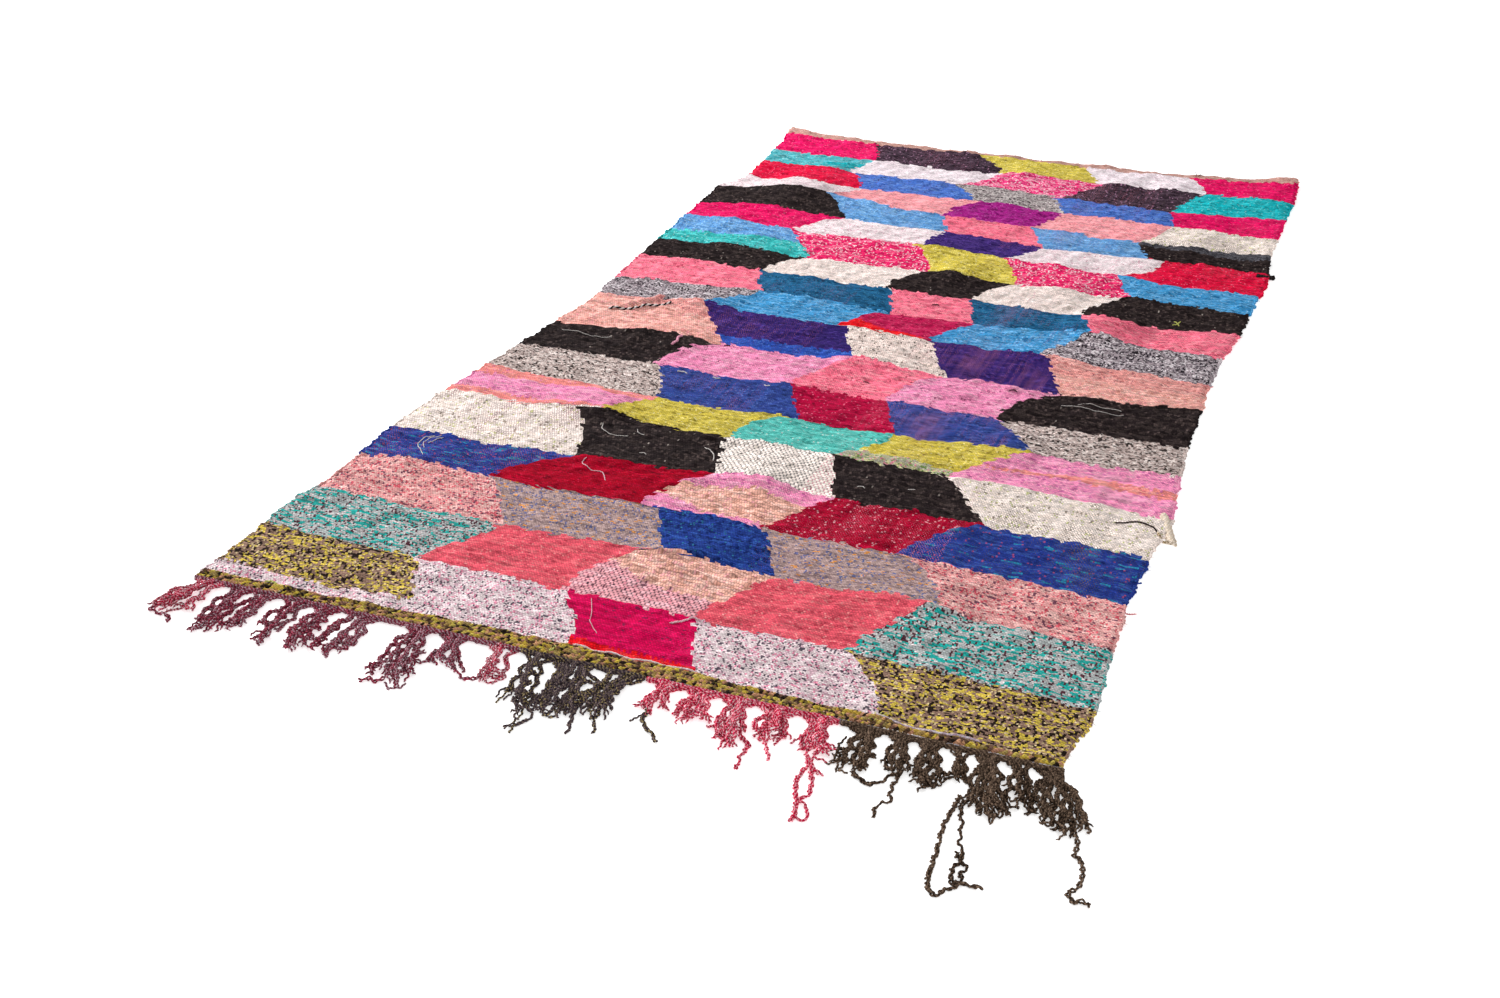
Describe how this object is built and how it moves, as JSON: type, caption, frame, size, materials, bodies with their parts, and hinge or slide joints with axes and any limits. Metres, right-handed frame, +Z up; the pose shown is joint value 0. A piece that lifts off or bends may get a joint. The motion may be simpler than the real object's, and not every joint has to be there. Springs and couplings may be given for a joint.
{
  "type": "boucherouite rug",
  "caption": "Flat-woven rag rug lying on a floor, rippled sheet with rows of leaning colour blocks, twined heading and twisted fringe at one end.",
  "frame": {"origin": "on the floor, under the middle of the woven field", "axes": "+X across the rug, +Y along it away from the fringed end, +Z up"},
  "size_m": [1.624, 3.1928, 0.026],
  "materials": {
    "woven_blocks": "matt multicoloured weft-faced weave",
    "heading_twine": "matt olive, yellow and brown twined yarn",
    "maroon_yarn": "matt maroon and mauve plied yarn",
    "charcoal_yarn": "matt charcoal and navy plied yarn",
    "crimson_yarn": "matt crimson and pale pink plied yarn",
    "brown_yarn": "matt brown-grey plied yarn",
    "black_rag": "matt black knitted rag",
    "cream_yarn": "matt cream yarn"
  },
  "bodies": {
    "root": {"woven_field": "woven_blocks", "twined_heading": "heading_twine", "fringe_maroon": "maroon_yarn", "fringe_charcoal": "charcoal_yarn", "fringe_crimson": "crimson_yarn", "fringe_brown": "brown_yarn", "side_tab": "black_rag", "side_knot": "cream_yarn"}
  },
  "joints": []
}
